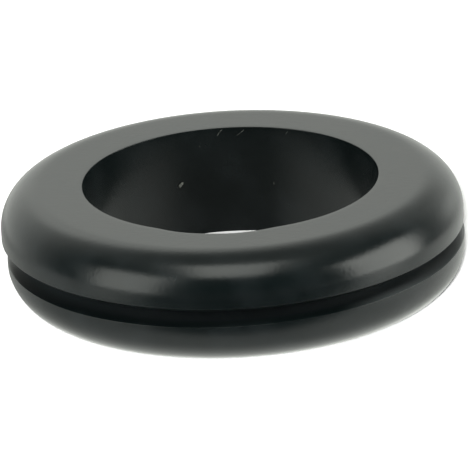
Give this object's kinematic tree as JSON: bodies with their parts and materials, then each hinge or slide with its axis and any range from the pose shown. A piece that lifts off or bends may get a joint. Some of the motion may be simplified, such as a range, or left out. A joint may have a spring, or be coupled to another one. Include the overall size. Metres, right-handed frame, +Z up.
{
  "type": "rubber grommet",
  "caption": "Thick rubber ring with rounded flanges, a narrow groove between them that grips a panel's edge, and a wide through bore that lines the hole for a cable.",
  "frame": {"origin": "centre of the bore at the lower end face, which the grommet rests on", "axes": "+Z up along the bore's axis; the ring is the same all round, so X and Y are any pair square to it"},
  "size_m": [0.0398, 0.0398, 0.0097],
  "materials": {
    "rubber": "satin, as moulded"
  },
  "bodies": {
    "root": {"grommet": "rubber"}
  },
  "joints": []
}
